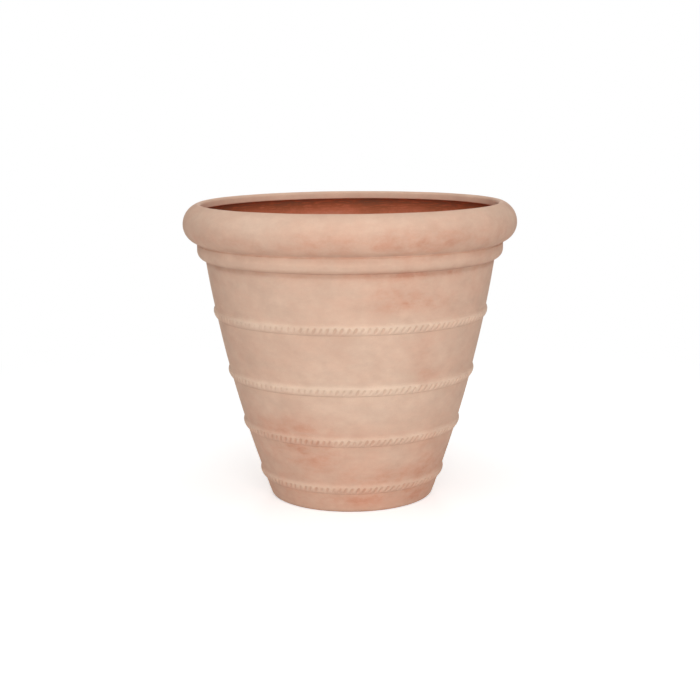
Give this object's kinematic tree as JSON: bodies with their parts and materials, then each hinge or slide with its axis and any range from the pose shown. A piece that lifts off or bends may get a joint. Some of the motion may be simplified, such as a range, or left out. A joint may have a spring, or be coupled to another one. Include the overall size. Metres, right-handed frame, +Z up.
{
  "type": "flower pot",
  "caption": "Large tapered clay flower pot with a hollow rolled rim, a rounded collar, raised rope bands round its bowed side and a drain hole in the base.",
  "frame": {"origin": "centre of the foot ring, on the surface that the pot stands on", "axes": "+Z up along the pot's axis of turning, X and Y level; the pot has no front"},
  "size_m": [0.5, 0.5, 0.447],
  "materials": {
    "limewashed_clay": "matt, cream limewash worn thin over pink clay",
    "bare_clay": "matt, unwashed red clay"
  },
  "bodies": {
    "root": {"base_slab": "bare_clay", "side_wall": "limewashed_clay", "rim_collar": "limewashed_clay", "rim_roll": "limewashed_clay", "rope_band_1": "limewashed_clay", "rope_band_2": "limewashed_clay", "rope_band_3": "limewashed_clay", "rope_band_4": "limewashed_clay"}
  },
  "joints": []
}
